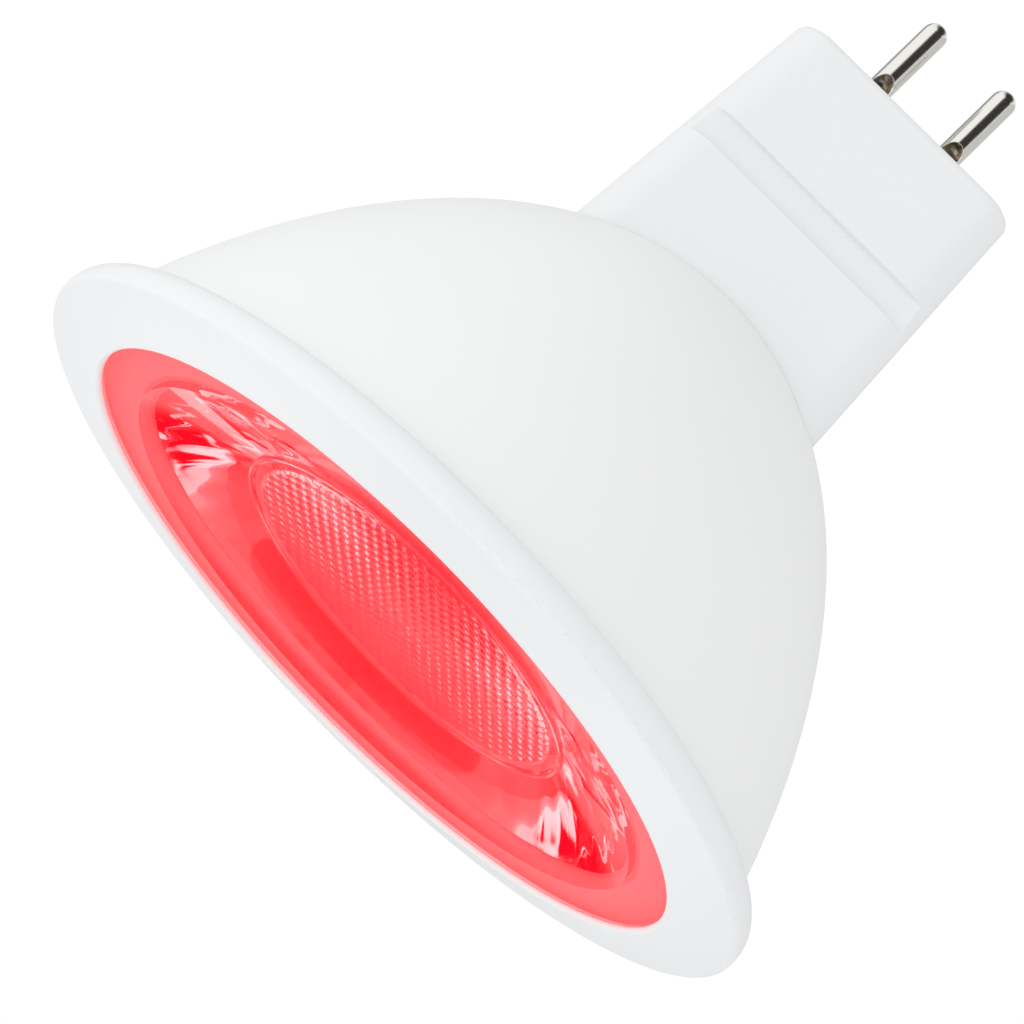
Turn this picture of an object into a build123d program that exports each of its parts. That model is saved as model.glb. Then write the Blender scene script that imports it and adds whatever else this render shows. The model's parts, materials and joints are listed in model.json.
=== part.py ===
from build123d import *
import os
from math import radians, sqrt, tan

os.makedirs("parts", exist_ok=True)

# All sizes are in millimetres. The origin is the middle of the base block's end face, between the
# two pins. +Z runs up the optical axis and out of the lens, and +X runs along the pair of pins.

# Fits
slip = 0.05  # clearance between two moulded parts that slide together
clamp_slip = 0.1  # clearance round the lens flange inside the shell

# Front ring
rim_radius = 25.0
rim_edge_height = 39.7  # height of the ring's outer front edge
rim_depth = 1.94  # depth of the ring's outer band
lip_rise = 0.82  # how far the inner lip stands above the outer front edge
ring_face_width = 4.33
front_edge_round = 0.35
back_edge_round = 1.35
lip_round = 0.25

# Shell: part of an ellipsoid of revolution, whose widest place would lie out in front of the ring
dome_swell = 0.53  # how far the ellipsoid's radial axis exceeds the ring's radius
dome_long_axis = 41.9
dome_apex_height = 13.75
shell_wall = 1.3
spigot_step = 0.58  # step in from the dome's mouth to the spigot that carries the ring
spigot_height = 1.35
seat_rise = 6.75  # from the ellipsoid's apex up to the flat seat for the block's flange

# Base block
pin_spacing = 5.33
block_width = 15.72
block_thickness = 11.5
block_draft = 3.33
block_corner = 2.0
block_end_round = 0.5
block_wall = 1.3
block_end_wall = 2.0
block_flange_gap = 0.4
block_flange_thickness = 1.3
groove_bottom = 7.5
groove_width = 2.0
groove_depth = 0.55

# Contact pins
pin_radius = 0.75
pin_length = 7.45
pin_shank_radius = 0.95
pin_shoulder = 0.3  # how far the shank stands out of the end face
pin_tail_radius = 0.55
pin_tail = 3.2
pin_collar_radius = 1.2
pin_collar_thickness = 0.6
dent_radius = 0.95
dent_depth = 0.5
dent_height = -2.1
lead_radius = 0.4
lead_bend = 0.6

# Lens
lens_recess = 0.32  # from the ring's lip down to the lens front
lens_step = 0.9  # from the lens front down to the flange that the ring clamps
lens_flange_thickness = 1.5
lens_band_width = 2.72  # flat band round the dished middle of the front
dish_width = 6.4  # from the flat band in to the rim of the disc
dish_depth = 1.86
disc_rim_width = 0.45
disc_rim_height = 0.15
lens_wall_sagitta = 0.9
cavity_depth = 8.4  # from the lens front down to the edge of the ceiling over the diodes
ceiling_bulge = 1.2  # how far the ceiling's middle hangs below its edge
cavity_radius = 11.2
foot_width = 1.2

# Holder ring under the lens
holder_height = 2.0
holder_gap = 0.3  # round the top of the lens wall

# Heat cup and light source stack
cup_wall = 0.8
cup_stand = 4.0  # from the block's seat up to the underside of the cup
cup_floor_thickness = 1.5
pad_margin = 0.2
pad_thickness = 0.3
board_margin = 0.8
board_thickness = 1.0
diode_count = 6
diode_ring_radius = 6.0
diode_length = 3.5
diode_width = 2.8
diode_height = 0.7
window_length = 2.7
window_width = 2.0
window_depth = 0.4
screw_radius = 1.0
screw_clearance = 0.1
screw_length = 3.6
screw_head_radius = 1.55
screw_head_height = 0.9
screw_slot_width = 0.4
screw_slot_depth = 0.4
screw_head_gap = 0.15  # between a screw head and the wall of the lens cavity

# Wires from the driver to the light source
wire_radius = 0.4
wire_offset = 6.6
wire_bend = 0.8
wire_loop_height = 0.9
wire_landing_x = 5.6
wire_landing_drop = 1.6  # below the top of the driver board
wire_landing_length = 1.2
bush_radius = 0.9
bush_flange_radius = 1.4
bush_flange_thickness = 0.5
solder_foot_radius = 0.9
solder_top_radius = 0.55
solder_height = 0.6

# Driver board and the parts on it
driver_width = 13.0
driver_thickness = 1.0
driver_rise = 1.5  # how far the board stands above the block's seat
driver_centre_y = -1.75
rail_inner_x = 6.1
rail_thickness = 0.8
rail_height = 15.0
capacitor_radius = 2.5
capacitor_length = 9.0
capacitor_x = 3.3
capacitor_bottom = 8.5
sleeve_wall = 0.15
sleeve_lip = 0.5
capacitor_lead_radius = 0.25
capacitor_lead_pitch = 2.0
capacitor_lead_drop = 0.9
coil_x = -2.9
coil_height = 12.5
coil_flange_radius = 3.0
coil_flange_thickness = 0.8
coil_post_radius = 1.3
coil_winding_radius = 2.6
coil_length = 4.5
bridge_size = (4.7, 1.6, 3.8)
bridge_gap = 1.35  # between the rectifier and the chip's lower legs
chip_size = (4.9, 1.45, 3.9)
chip_height = 12.6
leg_size = (0.4, 0.2, 0.9)
leg_pitch = 1.27
legs_per_side = 4
diode_block_size = (4.3, 2.1, 2.6)
diode_block_gap = 1.05  # between the output diode and the chip's upper legs
resistor_size = (2.0, 0.5, 1.25)
resistor_x = -4.4
resistor_heights = (9.5, 12.5, 15.5)
chip_capacitor_size = (2.0, 0.9, 1.25)
chip_capacitor_x = 4.4
chip_capacitor_heights = (9.5, 12.5)

# Heights and radii that follow from the sizes above
opening_radius = rim_radius - ring_face_width
mouth_height = rim_edge_height - rim_depth
spigot_top = mouth_height + spigot_height
lens_front = rim_edge_height + lip_rise - lens_recess
flange_top = lens_front - lens_step
ledge_height = flange_top - lens_flange_thickness
disc_height = lens_front - dish_depth
ceiling_height = lens_front - cavity_depth
front_radius = opening_radius - slip
dish_radius = front_radius - lens_band_width
disc_rim_radius = dish_radius - dish_width
disc_radius = disc_rim_radius - disc_rim_width
dome_radial_axis = rim_radius + dome_swell
dome_centre = dome_apex_height + dome_long_axis
inner_radial_axis = dome_radial_axis - shell_wall
inner_long_axis = dome_long_axis - shell_wall
cup_radial_axis = inner_radial_axis - cup_wall
cup_long_axis = inner_long_axis - cup_wall
seat_height = dome_apex_height + seat_rise
block_flange_top = seat_height + block_flange_thickness
cup_floor_bottom = seat_height + cup_stand
cup_floor_top = cup_floor_bottom + cup_floor_thickness
pad_top = cup_floor_top + pad_thickness
board_top = pad_top + board_thickness
foot_radius = cavity_radius + foot_width
board_radius = foot_radius + board_margin
pad_radius = board_radius - pad_margin
screw_offset = cavity_radius - screw_head_radius - screw_head_gap
driver_front = driver_centre_y + driver_thickness / 2
driver_back = driver_centre_y - driver_thickness / 2
driver_top = seat_height + driver_rise
chip_reach = chip_size[2] / 2 + leg_size[2]
bridge_height = chip_height - chip_reach - bridge_gap - bridge_size[2] / 2
diode_block_height = chip_height + chip_reach + diode_block_gap + diode_block_size[2] / 2
wire_landing_top = driver_top - wire_landing_drop

upright = (Align.CENTER, Align.CENTER, Align.MIN)


def rod(radius, bottom, top):
    """Upright cylinder on the axis between two heights."""
    return Pos(0, 0, bottom) * Cylinder(radius, top - bottom, align=upright)


def ellipse_radius(radial_axis, long_axis, height):
    """Radius at a height of an ellipsoid that shares the dome's centre."""
    return radial_axis * sqrt(1 - ((height - dome_centre) / long_axis) ** 2)


def ellipsoid(radial_axis, long_axis, bottom, top):
    """Ellipsoid of revolution about the optical axis, cut square at two heights."""
    centre = (0, dome_centre)
    arc = EllipticalCenterArc(centre, radial_axis, long_axis, start_angle=-90, arc_size=180)
    outline = arc + Line(arc @ 1, arc @ 0)
    body = revolve(Plane.XZ * make_face(outline), Axis.Z)
    return body & rod(rim_radius, bottom, top)


def section_size(size, height):
    """Side of the drafted block at a height above its end face."""
    return size + 2 * height * tan(radians(block_draft))


def block_body(inset, corner, bottom, top):
    """Drafted block with rounded corners, drawn in by an inset, between two heights."""
    sections = []
    for height in (bottom, top):
        width = section_size(block_width, height) - 2 * inset
        thickness = section_size(block_thickness, height) - 2 * inset
        sections.append(Pos(0, 0, height) * RectangleRounded(width, thickness, corner))
    return loft(sections, ruled=True)


def corner_at(outline, radius, height):
    """Corner of a flat outline that lies nearest to a radius and a height."""
    return outline.vertices().sort_by_distance((radius, height, 0))[0]


def wire(path, radius):
    """Round wire along a path."""
    start = Plane(origin=path @ 0, z_dir=path % 0)
    return sweep(start * Circle(radius), path=path)


def elbow_wire(start, turn, reach, radius):
    """Round wire up or down the axis to a turning height, round a quarter bend and on towards -Y."""
    way = 1 if turn > start else -1
    low = turn + way * lead_bend
    middle = (0, lead_bend / sqrt(2) - lead_bend, turn + way * lead_bend / sqrt(2))
    straight = Line((0, 0, start), (0, 0, turn))
    bend = ThreePointArc((0, 0, turn), middle, (0, -lead_bend, low))
    run = Line((0, -lead_bend, low), (0, -reach, low))
    return wire(straight + bend + run, radius)


def on_driver(size, x, height, side):
    """Block of a given size lying on the front (+1) or back (-1) face of the driver board."""
    face = driver_front if side > 0 else driver_back
    return Pos(x, face + side * size[1] / 2, height) * Box(*size)


# Shell
spigot_radius = ellipse_radius(dome_radial_axis, dome_long_axis, mouth_height) - spigot_step
lens_flange_radius = ellipse_radius(inner_radial_axis, inner_long_axis, ledge_height)
mouth_plug = ellipsoid(dome_radial_axis, dome_long_axis, 0, mouth_height)
mouth_plug += rod(spigot_radius, mouth_height, spigot_top)
shell_hollow = ellipsoid(inner_radial_axis, inner_long_axis, seat_height, ledge_height)
shell_hollow += rod(lens_flange_radius + clamp_slip, ledge_height, spigot_top)
block_opening = block_body(-slip, block_corner, 0, seat_height)
outer_shell = mouth_plug - shell_hollow - block_opening
export_step(outer_shell, "parts/outer_shell.step")

# Base block, with a spring groove across each wide face and rails for the driver board inside
base_block = block_body(0, block_corner, 0, seat_height)
base_block = fillet(base_block.edges().group_by(Axis.Z)[0], block_end_round)
block_flange_radius = ellipse_radius(inner_radial_axis, inner_long_axis, seat_height) - block_flange_gap
base_block += rod(block_flange_radius, seat_height, block_flange_top)
block_hollow = block_body(block_wall, block_corner - block_wall, block_end_wall, block_flange_top)
base_block -= block_hollow
groove_middle = groove_bottom + groove_width / 2
groove_floor = section_size(block_thickness, groove_middle) / 2 - groove_depth
groove_tool = Box(rim_radius, block_thickness, groove_width)
for side in (1, -1):
    base_block -= Pos(0, side * (groove_floor + block_thickness / 2), groove_middle) * groove_tool
rail_blank = Box(rim_radius, rail_thickness, rail_height, align=upright)
rail_gap = Box(2 * rail_inner_x, rim_radius, rim_radius, align=upright)
for face, side in ((driver_front, 1), (driver_back, -1)):
    rail = Pos(0, face + side * rail_thickness / 2, block_end_wall) * rail_blank
    base_block += (rail & block_hollow) - rail_gap
pin_bore = rod(pin_shank_radius, 0, block_end_wall)
for side in (1, -1):
    base_block -= Pos(side * pin_spacing / 2, 0, 0) * pin_bore
export_step(base_block, "parts/base_block.step")

# Contact pins: round ends, a staking dent near the foot, a thicker shank held in the end wall,
# a collar behind the wall and a thin tail for the lead
pin = rod(pin_radius, pin_radius - pin_length, -pin_shoulder)
pin += Pos(0, 0, pin_radius - pin_length) * Sphere(pin_radius)
pin += rod(pin_shank_radius, -pin_shoulder, block_end_wall)
pin += rod(pin_collar_radius, block_end_wall, block_end_wall + pin_collar_thickness)
pin += rod(pin_tail_radius, block_end_wall + pin_collar_thickness, pin_tail)
pin -= Pos(0, pin_radius + dent_radius - dent_depth, dent_height) * Sphere(dent_radius)
export_step(Pos(-pin_spacing / 2, 0, 0) * pin, "parts/contact_pin_left.step")
export_step(Pos(pin_spacing / 2, 0, 0) * pin, "parts/contact_pin_right.step")

# Short leads from the pin tails to the driver board
pin_lead = elbow_wire(pin_tail, pin_tail + lead_bend, -driver_front, lead_radius)
export_step(Pos(-pin_spacing / 2, 0, 0) * pin_lead, "parts/pin_lead_left.step")
export_step(Pos(pin_spacing / 2, 0, 0) * pin_lead, "parts/pin_lead_right.step")

# Front ring: flat-backed cap with a slightly raised inner lip over the lens flange
ring_bore = spigot_radius + slip
ring_outline = make_face(
    Polyline(
        (opening_radius, flange_top),
        (opening_radius, rim_edge_height + lip_rise),
        (rim_radius, rim_edge_height),
        (rim_radius, mouth_height),
        (ring_bore, mouth_height),
        (ring_bore, spigot_top + slip),
        (lens_flange_radius + slip, spigot_top + slip),
        (lens_flange_radius + slip, flange_top),
        close=True,
    )
)
ring_outline = fillet(corner_at(ring_outline, opening_radius, rim_edge_height + lip_rise), lip_round)
ring_outline = fillet(corner_at(ring_outline, rim_radius, rim_edge_height), front_edge_round)
ring_outline = fillet(corner_at(ring_outline, rim_radius, mouth_height), back_edge_round)
front_ring = revolve(Plane.XZ * ring_outline, Axis.Z)
export_step(front_ring, "parts/front_ring.step")

# Lens: flat band and dished middle in front, clamped flange, curved total-reflection wall, and a
# cavity over the diodes with a bulging ceiling
wall_top = (dish_radius, ledge_height)
wall_bottom = (foot_radius, board_top)
ceiling_edge = (cavity_radius, ceiling_height)
disc_edge = (disc_radius, disc_height)
disc_rim_top = (disc_radius + disc_rim_width / 2, disc_height + disc_rim_height)
disc_rim_edge = (disc_rim_radius, disc_height)
lens_wall = SagittaArc(wall_top, wall_bottom, lens_wall_sagitta)
lens_foot = Polyline(wall_bottom, (cavity_radius, board_top), ceiling_edge)
ceiling = TangentArc((0, ceiling_height - ceiling_bulge), ceiling_edge, tangent=(1, 0))
disc = Polyline(ceiling @ 0, (0, disc_height), disc_edge)
disc_rim = ThreePointArc(disc_edge, disc_rim_top, disc_rim_edge)
lens_front_edge = Polyline(
    disc_rim_edge,
    (dish_radius, lens_front),
    (front_radius, lens_front),
    (front_radius, flange_top),
    (lens_flange_radius, flange_top),
    (lens_flange_radius, ledge_height),
    wall_top,
)
lens_outline = lens_wall + lens_foot + ceiling + disc + disc_rim + lens_front_edge
tir_lens = revolve(Plane.XZ * make_face(lens_outline), Axis.Z)
export_step(tir_lens, "parts/tir_lens.step")

# Holder ring in the mouth of the heat cup, which backs the lens flange
holder_radial_axis = cup_radial_axis - slip
holder_long_axis = cup_long_axis - slip
lens_holder = ellipsoid(holder_radial_axis, holder_long_axis, ledge_height - holder_height, ledge_height)
lens_holder -= rod(dish_radius + holder_gap, ledge_height - holder_height, ledge_height)
export_step(lens_holder, "parts/lens_holder.step")

# Heat cup inside the shell, carrying the light source
heat_cup = ellipsoid(inner_radial_axis, inner_long_axis, cup_floor_bottom, ledge_height)
heat_cup -= ellipsoid(cup_radial_axis, cup_long_axis, cup_floor_top, ledge_height)
thermal_pad = rod(pad_radius, cup_floor_top, pad_top)
led_board = rod(board_radius, pad_top, board_top)
bush_bore = rod(bush_radius, cup_floor_bottom, board_top)
for side in (1, -1):
    wire_place = Pos(side * wire_offset, 0, 0)
    screw_place = Pos(0, side * screw_offset, 0)
    heat_cup -= wire_place * bush_bore
    thermal_pad -= wire_place * bush_bore
    led_board -= wire_place * bush_bore
    heat_cup -= screw_place * rod(screw_radius, cup_floor_bottom, cup_floor_top)
    thermal_pad -= screw_place * rod(screw_radius + screw_clearance, cup_floor_top, pad_top)
    led_board -= screw_place * rod(screw_radius + screw_clearance, pad_top, board_top)
export_step(heat_cup, "parts/heat_cup.step")
export_step(thermal_pad, "parts/thermal_pad.step")
export_step(led_board, "parts/led_board.step")

# Diode packages in a ring, each with a resin window let into its top
window_bottom = board_top + diode_height - window_depth
package = Pos(0, 0, board_top) * Box(diode_length, diode_width, diode_height, align=upright)
window = Pos(0, 0, window_bottom) * Box(window_length, window_width, window_depth, align=upright)
diode_places = PolarLocations(diode_ring_radius, diode_count, 180 / diode_count)
led_packages = Compound([place * (package - window) for place in diode_places])
led_windows = Compound([place * window for place in diode_places])
export_step(led_packages, "parts/led_packages.step")
export_step(led_windows, "parts/led_windows.step")

# Two slotted screws hold the board down on the cup
screw = rod(screw_radius, board_top - screw_length + screw_head_height, board_top)
screw += rod(screw_head_radius, board_top, board_top + screw_head_height)
slot_bottom = board_top + screw_head_height - screw_slot_depth
screw -= Pos(0, 0, slot_bottom) * Box(rim_radius, screw_slot_width, screw_slot_depth, align=upright)
board_screws = Compound([Pos(0, side * screw_offset, 0) * screw for side in (1, -1)])
export_step(board_screws, "parts/board_screws.step")

# Insulating bushes for the two wires through the cup floor
bush = rod(bush_radius, cup_floor_bottom, board_top)
bush += rod(bush_flange_radius, cup_floor_bottom - bush_flange_thickness, cup_floor_bottom)
bush -= rod(wire_radius, cup_floor_bottom - bush_flange_thickness, board_top)
wire_bushes = Compound([Pos(side * wire_offset, 0, 0) * bush for side in (1, -1)])
export_step(wire_bushes, "parts/wire_bushes.step")

# Wires from the driver board, up through the bushes and over on to the light board
wire_y = driver_front + wire_radius
bush_foot = cup_floor_bottom - bush_flange_thickness
loop_height = board_top + wire_loop_height
wire_pad_x = wire_offset - 2 * wire_bend
solder = Pos(0, 0, board_top) * Cone(solder_foot_radius, solder_top_radius, solder_height, align=upright)
solder -= rod(wire_radius, board_top, board_top + solder_height)
solder_joints = []
for name, side in (("led_wire_red", 1), ("led_wire_black", -1)):
    landing = (side * wire_landing_x, wire_y, wire_landing_top)
    landing_end = (side * wire_landing_x, wire_y, wire_landing_top - wire_landing_length)
    top_of_run = (side * wire_offset, 0, bush_foot)
    upward = (0, 0, 1)
    lower = Line(landing_end, landing)
    swing = Spline(landing, top_of_run, tangents=[upward, upward])
    riser = Line(top_of_run, (side * wire_offset, 0, loop_height))
    loop_top = (side * (wire_offset - wire_bend), 0, loop_height + wire_bend)
    loop = ThreePointArc(riser @ 1, loop_top, (side * wire_pad_x, 0, loop_height))
    drop = Line(loop @ 1, (side * wire_pad_x, 0, board_top))
    led_wire = wire(lower + swing + riser + loop + drop, wire_radius)
    export_step(led_wire, f"parts/{name}.step")
    solder_joints.append(Pos(side * wire_pad_x, 0, 0) * solder)
export_step(Compound(solder_joints), "parts/led_solder.step")

# Driver board, standing between the rails on the block's end wall
driver_blank = Box(driver_width, driver_thickness, driver_top - block_end_wall, align=upright)
driver_board = Pos(0, driver_centre_y, block_end_wall) * driver_blank
export_step(driver_board, "parts/driver_board.step")

# Smoothing capacitor: aluminium can in a shrunk sleeve, with two bent leads
can_radius = capacitor_radius - sleeve_wall
can_bottom = capacitor_bottom + sleeve_wall
can_top = capacitor_bottom + capacitor_length - sleeve_wall
capacitor_place = Pos(capacitor_x, driver_front + capacitor_radius, 0)
capacitor_can = rod(can_radius, can_bottom, can_top)
capacitor_sleeve = rod(capacitor_radius, capacitor_bottom, capacitor_bottom + capacitor_length)
capacitor_sleeve -= capacitor_can
capacitor_sleeve -= rod(can_radius - sleeve_lip, capacitor_bottom, capacitor_bottom + capacitor_length)
export_step(capacitor_place * capacitor_can, "parts/capacitor_can.step")
export_step(capacitor_place * capacitor_sleeve, "parts/capacitor_sleeve.step")
capacitor_lead = elbow_wire(
    can_bottom, can_bottom - capacitor_lead_drop, capacitor_radius, capacitor_lead_radius
)
capacitor_leads = Compound(
    [capacitor_place * Pos(side * capacitor_lead_pitch / 2, 0, 0) * capacitor_lead for side in (1, -1)]
)
export_step(capacitor_leads, "parts/capacitor_leads.step")

# Power coil: drum core standing on the board with its winding between the flanges
coil_place = Pos(coil_x, driver_front, coil_height) * Rot(-90, 0, 0)
drum_core = rod(coil_post_radius, 0, coil_length)
drum_core += rod(coil_flange_radius, 0, coil_flange_thickness)
drum_core += rod(coil_flange_radius, coil_length - coil_flange_thickness, coil_length)
winding = rod(coil_winding_radius, coil_flange_thickness, coil_length - coil_flange_thickness)
winding -= rod(coil_post_radius, coil_flange_thickness, coil_length - coil_flange_thickness)
export_step(coil_place * drum_core, "parts/coil_core.step")
export_step(coil_place * winding, "parts/coil_winding.step")

# Surface-mounted parts on the back of the driver board
bridge_rectifier = on_driver(bridge_size, 0, bridge_height, -1)
export_step(bridge_rectifier, "parts/bridge_rectifier.step")
driver_chip = on_driver(chip_size, 0, chip_height, -1)
export_step(driver_chip, "parts/driver_chip.step")
leg_rows = []
for row in (1, -1):
    leg_height = chip_height + row * (chip_size[2] + leg_size[2]) / 2
    for place in range(legs_per_side):
        leg_x = (place - (legs_per_side - 1) / 2) * leg_pitch
        leg_rows.append(on_driver(leg_size, leg_x, leg_height, -1))
export_step(Compound(leg_rows), "parts/chip_legs.step")
output_diode = on_driver(diode_block_size, 0, diode_block_height, -1)
export_step(output_diode, "parts/output_diode.step")
resistors = [on_driver(resistor_size, resistor_x, height, -1) for height in resistor_heights]
export_step(Compound(resistors), "parts/chip_resistors.step")
ceramics = [
    on_driver(chip_capacitor_size, chip_capacitor_x, height, -1) for height in chip_capacitor_heights
]
export_step(Compound(ceramics), "parts/chip_capacitors.step")
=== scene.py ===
# %% [markdown]
# A reflector spotlight bulb with a red lens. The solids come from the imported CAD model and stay
# where they are. This script adds what the solids leave out: the beaded lens, the finishes, the
# light, the floor and the camera. Everything is in metres, in the CAD model's own frame: +Z runs
# out of the lens and the two contact pins point down.

# %% Load the solids
import json
import math

import bmesh
import bpy
import numpy as np
from mathutils import Matrix, Vector


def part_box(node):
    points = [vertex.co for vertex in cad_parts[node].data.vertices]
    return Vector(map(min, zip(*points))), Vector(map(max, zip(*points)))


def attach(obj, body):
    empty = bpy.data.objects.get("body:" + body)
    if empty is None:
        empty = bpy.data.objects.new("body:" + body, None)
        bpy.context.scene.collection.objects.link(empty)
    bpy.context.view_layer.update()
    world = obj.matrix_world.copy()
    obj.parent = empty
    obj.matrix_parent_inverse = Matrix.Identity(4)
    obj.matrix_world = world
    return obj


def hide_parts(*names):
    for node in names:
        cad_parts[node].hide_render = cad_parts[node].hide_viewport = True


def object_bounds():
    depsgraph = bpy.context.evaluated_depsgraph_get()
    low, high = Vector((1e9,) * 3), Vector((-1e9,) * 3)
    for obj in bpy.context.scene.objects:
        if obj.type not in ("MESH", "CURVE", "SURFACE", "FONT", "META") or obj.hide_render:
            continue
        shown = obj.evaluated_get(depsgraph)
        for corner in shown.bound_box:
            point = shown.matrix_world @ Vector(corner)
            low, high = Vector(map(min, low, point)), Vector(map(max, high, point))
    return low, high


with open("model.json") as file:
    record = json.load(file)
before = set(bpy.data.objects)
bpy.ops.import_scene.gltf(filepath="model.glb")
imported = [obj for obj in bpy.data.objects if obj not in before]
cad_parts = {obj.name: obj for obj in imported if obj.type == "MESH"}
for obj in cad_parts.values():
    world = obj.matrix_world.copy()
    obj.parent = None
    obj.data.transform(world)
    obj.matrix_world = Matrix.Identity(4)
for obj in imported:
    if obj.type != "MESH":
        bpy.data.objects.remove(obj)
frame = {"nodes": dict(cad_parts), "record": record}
nodes = frame["nodes"]
record = frame["record"]
cad_low, cad_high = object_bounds()
MM = 0.001


def in_mm(*lengths):
    """Lengths in millimetres, rounded for printing."""
    return [round(float(length) / MM, 2) for length in lengths]


def add_object(name, data):
    """New object in the scene, at the origin."""
    made = bpy.data.objects.new(name, data)
    bpy.context.scene.collection.objects.link(made)
    return made


print("solids:", len(nodes), "box in mm:", in_mm(*(cad_high - cad_low)))

# %% [markdown]
# The camera comes first, because every finish is judged through it. A new camera looks straight
# down at the lens. It is rolled about its own line of sight, tilted away from the optical axis and
# turned about it, in that order. The aim says how far the middle of the lens lies from the middle
# of the picture.

# %% Camera
camera_turn = math.radians(177.0)
camera_tilt = math.radians(73.45)
camera_roll = math.radians(-134.19)
camera_distance = 257.66 * MM
aim_right = -6.97 * MM
aim_down = 6.87 * MM
view_angle = math.radians(11.95)

lens_centre = Vector((0, 0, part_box("tir_lens")[1].z))
turn = Matrix.Rotation(camera_turn, 3, "Z")
tilt = Matrix.Rotation(camera_tilt, 3, "X")
roll = Matrix.Rotation(camera_roll, 3, "Z")
facing = turn @ tilt @ roll
camera_data = bpy.data.cameras.new("camera")
camera_data.sensor_width = 36.0
camera_data.angle = view_angle
camera_data.clip_start = 0.01
camera_data.clip_end = 50.0
camera = add_object("camera", camera_data)
camera.matrix_world = facing.to_4x4()
camera.location = lens_centre - facing @ Vector((aim_right, -aim_down, -camera_distance))
bpy.context.scene.camera = camera
print("camera at, in mm:", in_mm(*camera.location))

# %% [markdown]
# A finish is a small network of shader nodes. Writing it as Python arithmetic keeps it readable: a
# Wire is one node output, and adding, multiplying or comparing two wires adds a Math node. Every
# other node comes from Finish.node, which takes the node's type, its settings and the values or
# wires of its inputs. The same two classes also serve the Geometry Nodes tree for the lens beads
# and the world's background.

# %% Wires
class Wire:
    """One node output that can be used in Python arithmetic."""

    def __init__(self, finish, socket):
        self.finish = finish
        self.socket = socket

    def other(self, name):
        """Another output of the same node."""
        return Wire(self.finish, self.socket.node.outputs[name])

    def axes(self):
        """X, Y and Z of a vector."""
        parts = self.finish.node("ShaderNodeSeparateXYZ", {}, {0: self})
        return [parts.other(axis) for axis in "XYZ"]

    def join(self, operation, first, second):
        return self.finish.node("ShaderNodeMath", {"operation": operation}, {0: first, 1: second})

    def __add__(self, other):
        return self.join("ADD", self, other)

    def __radd__(self, other):
        return self.join("ADD", other, self)

    def __sub__(self, other):
        return self.join("SUBTRACT", self, other)

    def __rsub__(self, other):
        return self.join("SUBTRACT", other, self)

    def __mul__(self, other):
        return self.join("MULTIPLY", self, other)

    def __rmul__(self, other):
        return self.join("MULTIPLY", other, self)

    def __truediv__(self, other):
        return self.join("DIVIDE", self, other)

    def __rtruediv__(self, other):
        return self.join("DIVIDE", other, self)

    def __lt__(self, other):
        return self.join("LESS_THAN", self, other)

    def __gt__(self, other):
        return self.join("GREATER_THAN", self, other)


print("wires can be added, subtracted, multiplied, divided and compared")

# %% [markdown]
# A finish holds one node tree and fills it node by node. Settings such as a Math node's operation
# are set before the inputs, because some of them change which inputs there are. The red lens glows
# a little, but no surface here is a lamp, so the renderer is told not to aim any light samples at
# what glows. That saves a quarter of its time.

# %% Finishes
class Finish:
    """A node tree that is filled by asking for one node at a time."""

    def __init__(self, tree):
        self.tree = tree
        self.tree.nodes.clear()

    def node(self, kind, settings=None, inputs=None, output=0):
        """New node. A list of wires goes into one input that takes several."""
        made = self.tree.nodes.new(kind)
        for name, value in (settings or {}).items():
            if name == "stops":
                self.set_stops(made.color_ramp, value)
            else:
                setattr(made, name, value)
        for key, value in (inputs or {}).items():
            for given in value if isinstance(value, list) else [value]:
                if isinstance(given, Wire):
                    self.tree.links.new(given.socket, made.inputs[key])
                else:
                    made.inputs[key].default_value = given
        return Wire(self, made.outputs[output]) if made.outputs else made

    def set_stops(self, ramp, stops):
        while len(ramp.elements) < len(stops):
            ramp.elements.new(1.0)
        for element, (position, colour) in zip(ramp.elements, stops):
            element.position = position
            element.color = colour

    def mix(self, share, first, second):
        """Colour that goes from the first to the second as the share goes from 0 to 1."""
        return self.node("ShaderNodeMix", {"data_type": "RGBA"},
                         {0: share, 6: first, 7: second}, output=2)


def new_finish(name):
    material = bpy.data.materials.new(name)
    material.use_nodes = True
    material.cycles.emission_sampling = "NONE"
    return material, Finish(material.node_tree)


print("finishes are written as arithmetic on wires")

# %% [markdown]
# Plain light for a pale object: an even white surround does most of the work. The floor lies below
# the pins, far enough down that its soft shadow stays faint. It scatters light like white card, and
# what the eye, a mirror or the lens sees of it is lifted to paper white.

# %% Surround and floor
white = (1.0, 1.0, 1.0, 1.0)
surround_strength = 0.92
floor_drop = 60 * MM
floor_reach = 6.0
floor_white = (0.86, 0.86, 0.86, 1.0)
floor_lift = 0.22
unit_square = ((0, 0), (1, 0), (1, 1), (0, 1))


def seen_directly(finish):
    """One for a ray from the eye, a mirror or the lens, and zero for scattered light."""
    camera_ray = finish.node("ShaderNodeLightPath", output="Is Camera Ray")
    glossy_ray = camera_ray.other("Is Glossy Ray")
    lens_ray = camera_ray.other("Is Transmission Ray")
    return finish.node("ShaderNodeMath", {"operation": "ADD", "use_clamp": True},
                       {0: camera_ray + glossy_ray, 1: lens_ray})


def one_face(name, points, material):
    """Object with a single four-cornered face."""
    mesh = bpy.data.meshes.new(name)
    mesh.from_pydata(points, [], [(0, 1, 2, 3)])
    mesh.materials.append(material)
    return add_object(name, mesh)


world = bpy.data.worlds.new("white_surround")
world.use_nodes = True
bpy.context.scene.world = world
sky = Finish(world.node_tree)
sky_strength = seen_directly(sky) * (1 - surround_strength) + surround_strength
white_sky = sky.node("ShaderNodeBackground", {}, {"Color": white, "Strength": sky_strength})
sky.node("ShaderNodeOutputWorld", {}, {"Surface": white_sky})

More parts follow.
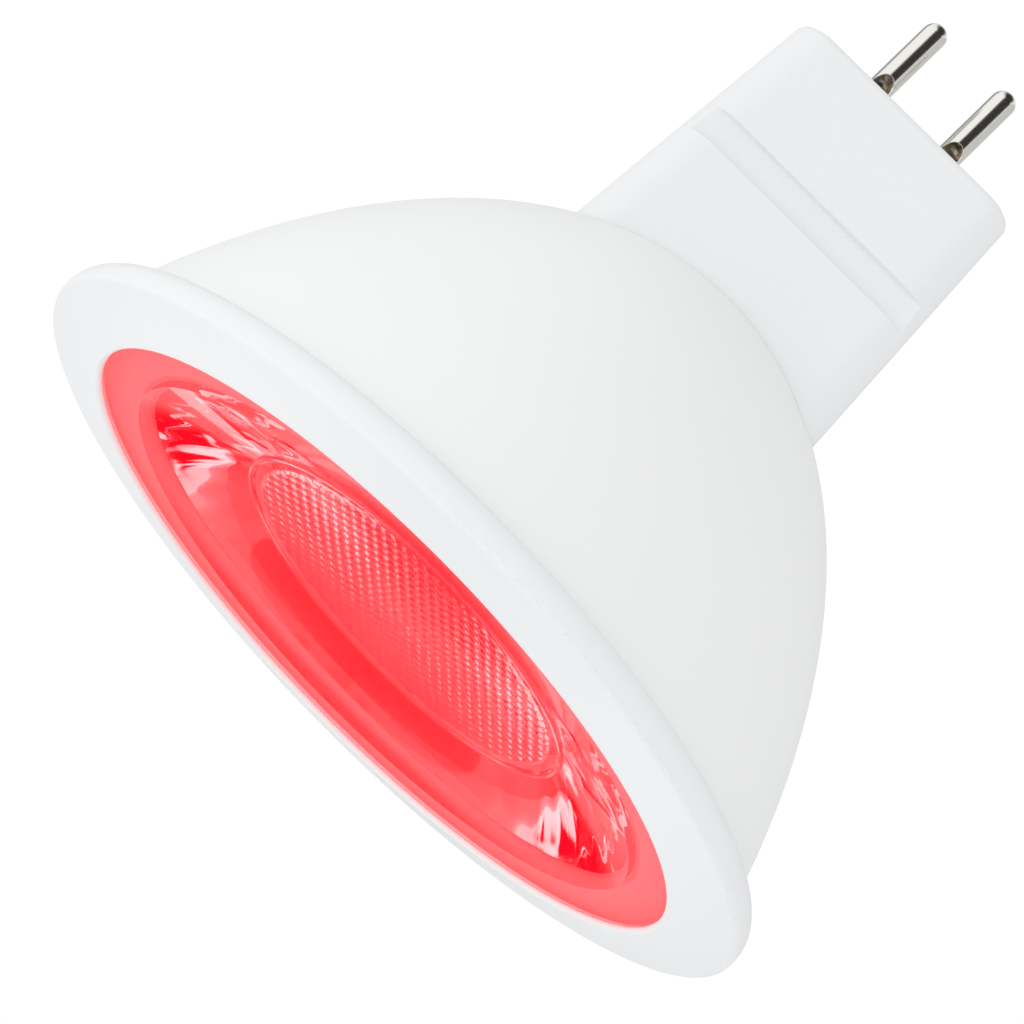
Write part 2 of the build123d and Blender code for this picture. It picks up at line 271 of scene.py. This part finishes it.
floor_material, paper = new_finish("white_paper")
scattered = paper.node("ShaderNodeBsdfDiffuse", {}, {"Color": floor_white})
lifted = paper.node("ShaderNodeEmission", {},
                    {"Color": white, "Strength": seen_directly(paper) * floor_lift})
both = paper.node("ShaderNodeAddShader", {}, {0: scattered, 1: lifted})
paper.node("ShaderNodeOutputMaterial", {}, {"Surface": both})

floor_level = cad_low.z - floor_drop
corners = [((2 * u - 1) * floor_reach, (2 * v - 1) * floor_reach, floor_level)
           for u, v in unit_square]
floor = one_face("floor", corners, floor_material)
print("floor at, in mm:", in_mm(floor_level))

# %% [markdown]
# Two large soft lamps add a little shape to the even light. Their places are given as the camera
# sees them: right, up and towards it.

# %% Lamps
lamp_width = 0.4
lamps = {"key_lamp": ((-0.5, 0.4, 0.3), 0.58), "front_lamp": ((0.0, 0.0, 0.7), 0.22)}
body_middle = (cad_low + cad_high) / 2


def soft_lamp(name, place, aim, power):
    lamp_data = bpy.data.lights.new(name, "AREA")
    lamp_data.shape = "DISK"
    lamp_data.size = lamp_width
    lamp_data.energy = power
    lamp = add_object(name, lamp_data)
    lamp.location = place
    lamp.rotation_euler = (aim - place).to_track_quat("-Z", "Y").to_euler()


for name, (offset, power) in lamps.items():
    soft_lamp(name, body_middle + facing @ Vector(offset), body_middle, power)
print("lamps:", list(lamps), "aimed at, in mm:", in_mm(*body_middle))

# %% [markdown]
# A photographer shapes what a shiny thing mirrors with cards. Dark ones, called flags, keep the
# bright surround out of it, and pale ones put a soft streak into it. Here a card is one face that
# glows in its own shade and fades to another towards its edge. It is seen only in mirrors or
# through the lens, so it casts no light on matt things and no shadow.

# %% Cards
def card(name, place, aim, size, shade, edge=1.0, fade_from=0.3, mirrored=True, refracted=False):
    """One face at a place, turned to an aim, that fades from its shade to its edge's."""
    half = 0.5
    material, tone = new_finish(name)
    spot = tone.node("ShaderNodeUVMap")
    from_middle = tone.node("ShaderNodeVectorMath", {"operation": "DISTANCE"},
                            {0: spot, 1: (half, half, 0.0)}, output="Value")
    fade = tone.node("ShaderNodeMapRange", {"interpolation_type": "SMOOTHSTEP"}, {
        "Value": from_middle, "From Min": fade_from, "From Max": half})
    grey = tone.mix(fade, (shade, shade, shade, 1.0), (edge, edge, edge, 1.0))
    glow = tone.node("ShaderNodeEmission", {}, {"Color": grey, "Strength": 1.0})
    tone.node("ShaderNodeOutputMaterial", {}, {"Surface": glow})

    width, tall = size
    turned_to_aim = (aim - place).to_track_quat("-Z", "Y").to_matrix().to_4x4()
    there = Matrix.Translation(place) @ turned_to_aim
    points = [there @ Vector(((u - half) * width, (v - half) * tall, 0)) for u, v in unit_square]
    made_card = one_face(name, points, material)
    for corner, place_on_card in zip(made_card.data.uv_layers.new().data, unit_square):
        corner.uv = place_on_card
    made_card.visible_camera = False
    made_card.visible_diffuse = False
    made_card.visible_shadow = False
    made_card.visible_glossy = mirrored
    made_card.visible_transmission = refracted


def compass(azimuth, slope, distance):
    """Offset at an azimuth from +Y towards +X and a slope above the horizon, both in degrees."""
    a, e = math.radians(azimuth), math.radians(slope)
    return distance * Vector((math.sin(a) * math.cos(e), math.cos(a) * math.cos(e), math.sin(e)))


print("cards are placed by the compass, from what they face")

# %% [markdown]
# The plated pins get four cards: dark ones in front of and below them, without which they look like
# chalk, and two grey ones that round off their sides. The one below lies almost level. If it faced
# straight up, nothing would say which way round it lies.

# %% Cards for the pins
pin_middle = Vector((0, 0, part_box("contact_pin_left")[0].z / 2))
pin_black, pin_grey_right, pin_grey_left = 0.04, 0.65, 0.4
pin_front, pin_right, pin_left = 16, 112, -150
almost_up = compass(pin_front, 89.9, 0.1)


def round_pins(azimuth):
    """Place beside the pins, a little below their middle."""
    return pin_middle + compass(azimuth, -23.6, 76 * MM)


below_place = pin_middle + compass(pin_front, -39, 90 * MM)
card("pin_flag_front", round_pins(pin_front), pin_middle, (0.13, 0.2), pin_black)
card("pin_flag_below", below_place, below_place + almost_up, (0.1, 0.25), pin_black)
card("pin_card_right", round_pins(pin_right), pin_middle, (0.25, 0.2), pin_grey_right)
card("pin_card_left", round_pins(pin_left), pin_middle, (0.12, 0.2), pin_grey_left)
print("cards for the pins stand round, in mm:", in_mm(*pin_middle))

# %% [markdown]
# The lens front is a mirror too at this low angle, and what it mirrors lies behind the lamp. A large
# flag there brings out the red. A second one is seen through the lens only, because light that
# turns back inside leaves that way as well. Low down, a grey card gives the flat rim its paler red,
# and a small dark one keeps that grey out of the disc. Two bright cards above make a dash of light
# on each bead, most of all towards the ends of the disc.

# %% Cards for the lens
lens_back = 183
flag_slope, rim_slope, bead_slope = 32, 11, 37
lens_black, rim_grey, bead_light = 0.02, 0.4, 3.3
bead_sides = {"left": 32, "right": -32}
near_lens = 30 * MM
disc_flag_lift = Vector((0, 0, 8.8 * MM))


def behind_lens(slope, distance, aside=0):
    return lens_centre + compass(lens_back + aside, slope, distance)


near_place = behind_lens(0, near_lens) + disc_flag_lift
card("lens_flag", behind_lens(flag_slope, 0.4), lens_centre, (0.6, 0.7), lens_black)
card("lens_flag_through", behind_lens(flag_slope, 0.38), lens_centre, (0.2, 0.7), lens_black,
     mirrored=False, refracted=True)
card("rim_card", behind_lens(rim_slope, 0.37), lens_centre, (0.9, 0.24), rim_grey,
     edge=lens_black, fade_from=0.2)
card("disc_flag", near_place, near_place - compass(lens_back, 0, near_lens), (0.034, 0.011),
     lens_black, edge=rim_grey, fade_from=0.4)
for side, aside in bead_sides.items():
    card("bead_card_" + side, behind_lens(bead_slope, 48 * MM, aside), lens_centre,
         (0.03, 0.036), bead_light, edge=rim_grey)
print("cards for the lens face, in mm:", in_mm(*lens_centre))

# %% [markdown]
# The lens is one red moulding. A flat band lies round a shallow dish, and the disc at the bottom of
# the dish carries a field of small beads that blends the light of the diodes. The curved wall behind
# throws the light forward by total reflection. The solid has all of it but the beads and some
# shallow flutes, so the outline is read from the solid: every corner of its mesh gives a radius and
# a height.

# %% Measure the lens
close = 0.01 * MM
lens_corners = {(round(math.hypot(v.co.x, v.co.y), 5), round(v.co.z, 5))
                for v in nodes["tir_lens"].data.vertices}
radius, height = np.array(sorted(lens_corners)).T
front_height, foot_height = height.max(), height.min()
flange_radius = radius.max()
on_flange = radius > flange_radius - close
flange_top, ledge_height = height[on_flange].max(), height[on_flange].min()
at_front = height > front_height - close
front_radius, dish_radius = radius[at_front].max(), radius[at_front].min()
at_foot = height < foot_height + close
foot_radius, cavity_radius = radius[at_foot].max(), radius[at_foot].min()
within_dish = radius < dish_radius + close
in_dish = (height > ledge_height + close) & within_dish
disc_radius, disc_height = radius[in_dish].min(), height[in_dish].min()
on_wall = (height < ledge_height + close) & (radius > foot_radius - close) & within_dish
in_cavity = (height < ledge_height - close) & (radius < cavity_radius + close)


def outline_part(chosen, order):
    """Corners of one part of the outline, in order."""
    return sorted(zip(radius[chosen].tolist(), height[chosen].tolist()), key=order)


dish = outline_part(in_dish, lambda corner: corner[0])
flange = [(front_radius, front_height), (front_radius, flange_top),
          (flange_radius, flange_top), (flange_radius, ledge_height)]
wall = outline_part(on_wall, lambda corner: -corner[1])
cavity = outline_part(in_cavity, lambda corner: (-corner[0], corner[1]))
print("lens radii in mm, front, dish, disc and foot:",
      in_mm(front_radius, dish_radius, disc_radius, foot_radius))
print("corners of dish, wall and cavity:", len(dish), len(wall), len(cavity))

# %% [markdown]
# The beads sit on a honeycomb lattice, so a Geometry Nodes tree makes them. Two parts of the tree
# come first. A square grid is rolled up into a disc, so that its rows become rings. The lattice is
# a second grid and a copy of it that is moved on by half a step, which together give a honeycomb.

# %% Disc and lattice
bead_sizes = {
    "Disc Radius": disc_radius,
    "Bead Field Radius": disc_radius - 0.65 * MM,
    "Bead Pitch": 0.87 * MM,
    "Bead Height": 0.13 * MM,
    "Lattice Turn": math.radians(-75.7),
    "Disc Height": disc_height,
}
disc_rings = 96
lens_segments = 384
disc_weld = 0.0001 * MM
spare_beads = 2


def rolled_disc(beads, size):
    """Flat disc that is rolled up from a square grid."""
    sheet = beads.node("GeometryNodeMeshGrid", {}, {
        "Size X": 1.0, "Size Y": 1.0,
        "Vertices X": disc_rings + 1, "Vertices Y": lens_segments + 1})
    outwards, round_about, _ = beads.node("GeometryNodeInputPosition").axes()
    reach = (outwards + 0.5) * size["Disc Radius"]
    angle = (round_about + 0.5) * math.tau
    cosine = beads.node("ShaderNodeMath", {"operation": "COSINE"}, {0: angle})
    sine = beads.node("ShaderNodeMath", {"operation": "SINE"}, {0: angle})
    polar = beads.node("ShaderNodeCombineXYZ", {}, {"X": reach * cosine, "Y": reach * sine})
    disc = beads.node("GeometryNodeSetPosition", {}, {"Geometry": sheet, "Position": polar})
    return beads.node("GeometryNodeMergeByDistance", {}, {
        "Geometry": disc, "Distance": disc_weld})


def bead_centres(beads, size):
    """Points of a honeycomb lattice that covers the disc."""
    pitch = size["Bead Pitch"]
    row_pair = pitch * math.sqrt(3)
    beads_out = bead_sizes["Disc Radius"] / bead_sizes["Bead Pitch"]
    columns = 2 * int(beads_out + spare_beads) + 1
    rows = 2 * int(beads_out / math.sqrt(3) + spare_beads) + 1
    lattice = beads.node("GeometryNodeMeshGrid", {}, {
        "Size X": pitch * (columns - 1), "Size Y": row_pair * (rows - 1),
        "Vertices X": columns, "Vertices Y": rows})
    half_step = beads.node("ShaderNodeCombineXYZ", {}, {"X": pitch * 0.5, "Y": row_pair * 0.5})
    between = beads.node("GeometryNodeTransform", {}, {
        "Geometry": lattice, "Translation": half_step})
    comb = beads.node("GeometryNodeJoinGeometry", {}, {0: [lattice, between]})
    lattice_turn = beads.node("ShaderNodeCombineXYZ", {}, {"Z": size["Lattice Turn"]})
    comb = beads.node("GeometryNodeTransform", {}, {"Geometry": comb, "Rotation": lattice_turn})
    return beads.node("GeometryNodeMeshToPoints", {}, {"Mesh": comb})


print("bead pitch and height in mm:", in_mm(bead_sizes["Bead Pitch"], bead_sizes["Bead Height"]))

# %% [markdown]
# The tree then looks up, for each point of the disc, the distance to the nearest lattice point, and
# lifts the point by the height that a small round cap has there. Outside the bead field the disc
# stays flat. The result is turned into a plain mesh, which will be welded into the lens.

# %% Beads on the disc
def bead_tree(material):
    """Geometry Nodes tree of the beaded disc, with its sizes as inputs."""
    tree = bpy.data.node_groups.new("beaded_disc", "GeometryNodeTree")
    for name in bead_sizes:
        tree.interface.new_socket(name=name, in_out="INPUT", socket_type="NodeSocketFloat")
    tree.interface.new_socket(name="Geometry", in_out="OUTPUT", socket_type="NodeSocketGeometry")
    beads = Finish(tree)
    inputs = beads.node("NodeGroupInput")
    size = {name: inputs.other(name) for name in bead_sizes}
    disc = rolled_disc(beads, size)
    centres = bead_centres(beads, size)

    to_nearest = beads.node("GeometryNodeProximity", {"target_element": "POINTS"},
                            {0: centres}, output="Distance")
    share = to_nearest / (size["Bead Pitch"] / math.sqrt(3))
    cap = (1 - share * share) * size["Bead Height"]
    flat_place = beads.node("GeometryNodeInputPosition")
    reach = beads.node("ShaderNodeVectorMath", {"operation": "LENGTH"}, {0: flat_place},
                       output="Value")
    inside = reach < size["Bead Field Radius"]
    lift = beads.node("ShaderNodeCombineXYZ", {}, {"Z": size["Disc Height"] + cap * inside})
    disc = beads.node("GeometryNodeSetPosition", {}, {"Geometry": disc, "Offset": lift})
    disc = beads.node("GeometryNodeSetShadeSmooth", {}, {0: disc})
    disc = beads.node("GeometryNodeRealizeInstances", {}, {"Geometry": disc})
    disc = beads.node("GeometryNodeSetMaterial", {}, {"Geometry": disc, "Material": material})
    beads.node("NodeGroupOutput", {}, {"Geometry": disc})
    return tree


def beaded_disc(material):
    """Plain mesh of the beaded disc."""
    tree = bead_tree(material)
    blank = add_object("beaded_disc", bpy.data.meshes.new("beaded_disc"))
    modifier = blank.modifiers.new("beads", "NODES")
    modifier.node_group = tree
    for item in tree.interface.items_tree:
        if item.in_out == "INPUT":
            modifier[item.identifier] = bead_sizes[item.name]
    evaluated = blank.evaluated_get(bpy.context.evaluated_depsgraph_get())
    mesh = bpy.data.meshes.new_from_object(evaluated)
    bpy.data.objects.remove(blank)
    return mesh


print("bead field radius in mm:", in_mm(bead_sizes["Bead Field Radius"]))

# %% [markdown]
# The red plastic is clear, so nearly all of its look comes from what it bends and mirrors. Its faces
# are polished, with a faint ripple that keeps the front from looking like a computer's perfect
# plane. The back of the flange is matt, as moulders texture it to keep stray light out of the rim,
# and the hollow over the diodes is a little hazy. The red is fuller than tinted plastic alone would
# give, so the plastic also has a faint painted glow of red light.

# %% Red lens plastic
polish, texture, haze = 0.02, 0.6, 0.06
ripple_scale, ripple_strength, ripple_height = 180.0, 0.02, 0.2 * MM
clear_red = (1.0, 0.6, 0.62, 1.0)
# painted glow: the lens plastic gives off a faint red light of its own, though no lamp lights it
painted_glow_red, painted_glow_strength = (1.0, 0.0, 0.01, 1.0), 0.3
ledge_limit = float(ledge_height + 5 * close)
ledge_inside = float(dish_radius - close)
hollow_limit = float(cavity_radius + 0.5 * MM)

lens_material, red = new_finish("lens_red")
lens_place = red.node("ShaderNodeTexCoord", output="Object")
x, y, z = lens_place.axes()
reach = red.node("ShaderNodeMath", {"operation": "SQRT"}, {0: x * x + y * y})
behind = z < ledge_limit
on_ledge = reach > ledge_inside
in_hollow = 1 - (reach > hollow_limit)
ripple = red.node("ShaderNodeTexNoise", {}, {
    "Vector": lens_place, "Scale": ripple_scale, "Detail": 2.0})
ripple_normal = red.node("ShaderNodeBump", {}, {
    "Height": ripple, "Strength": ripple_strength, "Distance": ripple_height})
lens_roughness = polish + behind * (on_ledge * (texture - polish) + in_hollow * (haze - polish))
lens_shader = red.node("ShaderNodeBsdfPrincipled", {}, {
    "Base Color": clear_red, "Roughness": lens_roughness, "IOR": 1.49,
    "Transmission Weight": 1.0, "Normal": ripple_normal,
    "Emission Color": painted_glow_red, "Emission Strength": painted_glow_strength})
red.node("ShaderNodeOutputMaterial", {}, {"Surface": lens_shader})
print("lens roughness: polished", polish, "hollow", haze, "flange", texture)

# %% [markdown]
# The rest of the lens is a turned shape: the outline carried round the axis. Dry faces that press
# together still have air between them, without which the light would not turn back there, so the
# clamped faces are drawn in by a fiftieth of a millimetre. Shallow flutes run down the curved wall,
# some broad and some fine. They break its mirror image into the fans of streaks at both ends of the
# lens, and they are cut inwards, so that the wall stays inside the solid.

# %% Lens body
corner_angle = math.radians(12)
air_gap = 0.02 * MM
flutes = {20: 0.03 * MM, 48: 0.02 * MM}


def parted(corner):
    """Corner of the outline, drawn back from the face that the ring, holder or board presses on."""
    r, h = corner
    if abs(h - flange_top) < close:
        return r, h - air_gap
    if abs(h - ledge_height) < close or abs(h - foot_height) < close:
        return r, h + air_gap
    return r, h


outline = [parted(corner) for corner in dish + flange + wall + cavity[:-1]]
wall_start = len(dish + flange)
fluted = range(wall_start + 1, wall_start + len(wall) - 1)
angles = np.linspace(0, math.tau, lens_segments, endpoint=False)
flute_depths = sum(depth * (0.5 + 0.5 * np.sin(count * angles)) for count, depth in flutes.items())
turned = bmesh.new()
ceiling_middle = turned.verts.new((0, 0, cavity[-1][1]))
rings = []
for k, (r, h) in enumerate(outline):
    ring = zip(angles, r - flute_depths * (k in fluted))
    rings.append([turned.verts.new((d * math.cos(a), d * math.sin(a), h)) for a, d in ring])
for k in range(lens_segments):
    following = (k + 1) % lens_segments
    turned.faces.new((ceiling_middle, rings[-1][k], rings[-1][following]))
    for outer, inner in zip(rings, rings[1:]):
        turned.faces.new((outer[k], inner[k], inner[following], outer[following]))
for face in turned.faces:
    face.smooth = True
bmesh.ops.recalc_face_normals(turned, faces=turned.faces)
lens_mesh = bpy.data.meshes.new("lens_body")
turned.to_mesh(lens_mesh)
turned.free()
lens_mesh.set_sharp_from_angle(angle=corner_angle)
print("lens rings:", len(rings), "fluted:", len(fluted))

# %% [markdown]
# The body's first ring is the edge of the disc. The beaded disc is welded in there, so that the lens
# is one closed skin, and the seam is marked sharp, because the disc meets the dish at an angle.

# %% Weld the beads in
lens_weld = 0.001 * MM


def on_disc_edge(corner):
    at_radius = abs(corner.co.xy.length - disc_radius) < close
    return at_radius and abs(corner.co.z - disc_height) < close


welded = bmesh.new()
welded.from_mesh(lens_mesh)
welded.from_mesh(beaded_disc(lens_material))
bmesh.ops.remove_doubles(welded, verts=welded.verts, dist=lens_weld)
bmesh.ops.recalc_face_normals(welded, faces=welded.faces)
for edge in welded.edges:
    if all(on_disc_edge(corner) for corner in edge.verts):
        edge.smooth = False
open_edges = sum(edge.is_boundary for edge in welded.edges)
welded.to_mesh(lens_mesh)
welded.free()
lens_mesh.materials.clear()
lens_mesh.materials.append(lens_material)
lens = add_object("beaded_lens", lens_mesh)
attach(lens, "root")
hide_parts("tir_lens")
print("lens faces:", len(lens_mesh.polygons), "open edges:", open_edges)

# %% [markdown]
# The contact pins are plated wire, drawn through a die and so marked along their length. A punch has
# dented each one near its foot, and the dent is coloured in blotches from near black to pale gold.
# The dent is found by what it is: the place where the surface lies inside the round of the wire. The
# tip is rounded too, so only the upper part of the pin counts.

# %% Measure the pins
bare_below = -1 * MM
pin_points = np.array([v.co for v in nodes["contact_pin_right"].data.vertices])
pin_x, pin_y, pin_z = pin_points.T
pin_axis = float(pin_x.min() + pin_x.max()) / 2
bare = pin_z < bare_below
pin_radius = float(np.hypot(pin_x[bare] - pin_axis, pin_y[bare]).max())
print("pin radius and axis in mm:", in_mm(pin_radius, pin_axis))

# %% [markdown]
# The metal is bright, with a slightly uneven tone along the drawing marks. In the dent, a colour
# ramp turns a blotchy noise into colours from near black to pale gold, and the same noise roughens
# the surface.

# %% Pin metal
dent_above = -4 * MM
dent_full, dent_begins = 0.93 * pin_radius, 0.98 * pin_radius
marks_scale, marks_stretch = 20000.0, (1.0, 1.0, 0.06)
blotch_scale = 2600.0
marks_dark, marks_light = 0.95, 1.15
# blotchy colours in the dent, from near black to pale gold
dent_colour_stops = (
    (0.35, (0.05, 0.04, 0.025, 1.0)),
    (0.52, (0.16, 0.13, 0.09, 1.0)),
    (0.68, (0.5, 0.43, 0.33, 1.0)),
)
slot_colour = {m["slot"]: m["base_color"] for m in record["materials"]}


def shaded(colour, factor):
    """Colour made darker or lighter, with its alpha."""
    return tuple(min(1.0, factor * c) for c in colour[:3]) + (1.0,)


pin_colour = slot_colour["pin_metal"]
pin_material, plated = new_finish("pin_metal")
pin_place = plated.node("ShaderNodeTexCoord", output="Object")
x, y, z = pin_place.axes()
aside = plated.node("ShaderNodeMath", {"operation": "ABSOLUTE"}, {0: x}) - pin_axis
from_axis = plated.node("ShaderNodeMath", {"operation": "SQRT"}, {0: aside * aside + y * y})
sunk = plated.node("ShaderNodeMapRange", {}, {
    "Value": from_axis, "From Min": dent_full, "From Max": dent_begins,
    "To Min": 1.0, "To Max": 0.0})
dented = sunk * (z > dent_above)
along = plated.node("ShaderNodeMapping", {}, {"Vector": pin_place, "Scale": marks_stretch})
marks = plated.node("ShaderNodeTexNoise", {}, {
    "Vector": along, "Scale": marks_scale, "Detail": 3.0})
blotches = plated.node("ShaderNodeTexNoise", {}, {
    "Vector": pin_place, "Scale": blotch_scale, "Detail": 3.0})
dent_colour = plated.node("ShaderNodeValToRGB", {"stops": dent_colour_stops}, {0: blotches})
bright = plated.mix(marks, shaded(pin_colour, marks_dark), shaded(pin_colour, marks_light))
pin_normal = plated.node("ShaderNodeBump", {}, {
    "Height": marks * 0.1 + dented * blotches, "Strength": 1.0, "Distance": 0.02 * MM})
pin_shader = plated.node("ShaderNodeBsdfPrincipled", {}, {
    "Base Color": plated.mix(dented, bright, dent_colour), "Metallic": 1.0,
    "Roughness": 0.14 + 0.06 * marks + 0.25 * dented, "Normal": pin_normal})
plated.node("ShaderNodeOutputMaterial", {}, {"Surface": pin_shader})
print("pin dents in mm: sunk below", in_mm(dent_begins), "and above", in_mm(dent_above))

# %% [markdown]
# Each CAD piece gets a finish named for its slot in the record, with the record's colour. Moulded
# plastic has a fine grain that catches the light, metal has drawing marks and small stains, and the
# parts on the driver board have the mottling of their own materials. One function makes them all.

# %% A finish for a solid
mottle_scale = 120.0
gloss_change = 0.15


def solid_finish(slot, roughness, metal=0.0, grain=0.25, grain_height=0.002, mottle=0.03,
                 stretch=(1.0, 1.0, 1.0), coat=0.0, mirror=0.5, tint=(1.0, 1.0, 1.0)):
    """Finish with grain of a given size and height in mm, and a slow mottling of the colour."""
    material, finish = new_finish(slot)
    colour = [c * t for c, t in zip(slot_colour[slot], tint)]
    place = finish.node("ShaderNodeTexCoord", output="Object")
    drawn = finish.node("ShaderNodeMapping", {}, {"Vector": place, "Scale": stretch})
    fine = finish.node("ShaderNodeTexNoise", {}, {
        "Vector": drawn, "Scale": 1 / (grain * MM), "Detail": 3.0, "Roughness": 0.6})
    slow = finish.node("ShaderNodeTexNoise", {}, {
        "Vector": drawn, "Scale": mottle_scale, "Detail": 2.0})
    normal = finish.node("ShaderNodeBump", {}, {
        "Height": fine, "Strength": 1.0, "Distance": grain_height * MM})
    shader = finish.node("ShaderNodeBsdfPrincipled", {}, {
        "Base Color": finish.mix(slow, shaded(colour, 1 - mottle), shaded(colour, 1 + mottle)),
        "Roughness": roughness + (fine - 0.5) * gloss_change, "Metallic": metal,
        "Coat Weight": coat, "Specular IOR Level": mirror, "Normal": normal})
    finish.node("ShaderNodeOutputMaterial", {}, {"Surface": shader})
    return material


print("solids have colours for", len(slot_colour), "slots")

# %% [markdown]
# The table says how each material differs: how rough it is, whether it is a metal, how large and
# high its grain is in millimetres, how much its colour varies, and which way it was drawn. The
# white plastics mirror little, because they are satin mouldings with a fine texture.

# %% Finishes for the solids
finishes = {
    "shell_plastic": dict(roughness=0.55, grain=0.4, grain_height=0.003, mottle=0.01, mirror=0.15,
                          tint=(0.992, 1.0, 1.012)),
    "block_plastic": dict(roughness=0.55, grain=0.25, grain_height=0.01, mottle=0.01, mirror=0.15,
                          tint=(0.97, 0.97, 0.97)),
    "ring_plastic": dict(roughness=0.5, grain=0.4, grain_height=0.002, mottle=0.01, mirror=0.08,
                         tint=(0.975, 0.975, 0.975)),
    "holder_white": dict(roughness=0.5, grain=0.3, mottle=0.01),
    "cup_aluminium": dict(roughness=0.35, metal=1.0, grain=0.1, stretch=(1.0, 1.0, 0.2)),
    "pad_grey": dict(roughness=0.8, grain=0.2, mottle=0.06),
    "board_white": dict(roughness=0.4, grain=0.15),
    "package_white": dict(roughness=0.5, grain=0.1),
    "window_resin": dict(roughness=0.25, grain=0.06, mottle=0.08, coat=0.4),
    "screw_steel": dict(roughness=0.3, metal=1.0, grain=0.08),
    "bush_silicone": dict(roughness=0.6, grain=0.15),
    "wire_red": dict(roughness=0.4, grain=0.2),
    "wire_black": dict(roughness=0.4, grain=0.2),
    "solder": dict(roughness=0.25, metal=1.0, grain=0.3, grain_height=0.01),
    "board_green": dict(roughness=0.35, grain=0.3, mottle=0.12, coat=0.3),
    "can_aluminium": dict(roughness=0.3, metal=1.0, grain=0.1),
    "sleeve_black": dict(roughness=0.3, grain=0.3),
    "tinned_wire": dict(roughness=0.28, metal=1.0, grain=0.1),
    "ferrite": dict(roughness=0.7, grain=0.08, mottle=0.15),
    "copper": dict(roughness=0.3, metal=1.0, grain=0.25, grain_height=0.03,
                   stretch=(0.05, 1.0, 0.05)),
    "epoxy_black": dict(roughness=0.55, grain=0.08, mottle=0.1),
    "resistor_black": dict(roughness=0.35, grain=0.1, mottle=0.1),
    "ceramic_tan": dict(roughness=0.5, grain=0.1, mottle=0.08),
}
finish_of = {slot: solid_finish(slot, **look) for slot, look in finishes.items()}
finish_of["pin_metal"] = pin_material
finish_of["lens_red"] = lens_material
for part in record["subparts"]:
    piece = nodes[part["node"]]
    piece.data.materials.clear()
    piece.data.materials.append(finish_of[part["material_slot"]])
print("finishes made:", len(finish_of), "pieces dressed:", len(record["subparts"]))

# %% [markdown]
# Colours are shown as they are written, with no film look over them. The dressed model may not
# outgrow the solids.

# %% Colour setting
bpy.context.scene.view_settings.view_transform = "Standard"
